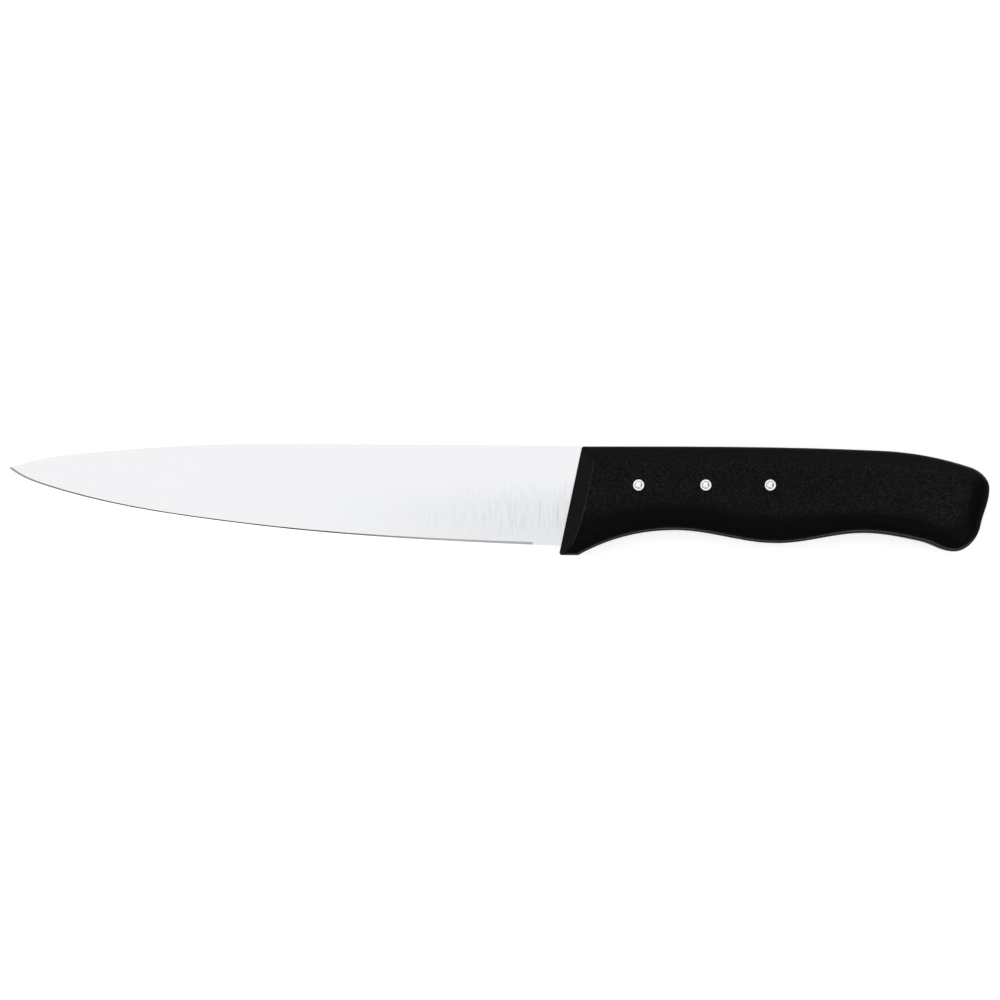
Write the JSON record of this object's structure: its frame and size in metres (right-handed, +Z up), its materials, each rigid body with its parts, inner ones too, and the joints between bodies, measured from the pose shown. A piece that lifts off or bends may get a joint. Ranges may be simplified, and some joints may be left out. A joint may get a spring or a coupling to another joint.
{
  "type": "carving knife",
  "caption": "Carving knife with a long flat-ground steel blade, and a black moulded handle held to the tang by dished rivets.",
  "frame": {"origin": "on the table, under the middle of the knife as it lies on its right side", "axes": "+X from the blade's tip to the handle's butt, +Y from the cutting edge to the spine, +Z up, out of the knife's left side"},
  "size_m": [0.294, 0.0334, 0.017],
  "materials": {
    "blade_steel": "fine ground satin, polished at the cutting edge",
    "handle_plastic": "fine spark-eroded grain on the sides, smoother towards the rim",
    "rivet_metal": "satin"
  },
  "bodies": {
    "root": {"blade": "blade_steel", "handle": "handle_plastic", "front_rivet_pin": "rivet_metal", "middle_rivet_pin": "rivet_metal", "rear_rivet_pin": "rivet_metal", "front_left_rosette": "rivet_metal", "front_right_rosette": "rivet_metal", "middle_left_rosette": "rivet_metal", "middle_right_rosette": "rivet_metal", "rear_left_rosette": "rivet_metal", "rear_right_rosette": "rivet_metal"}
  },
  "joints": []
}
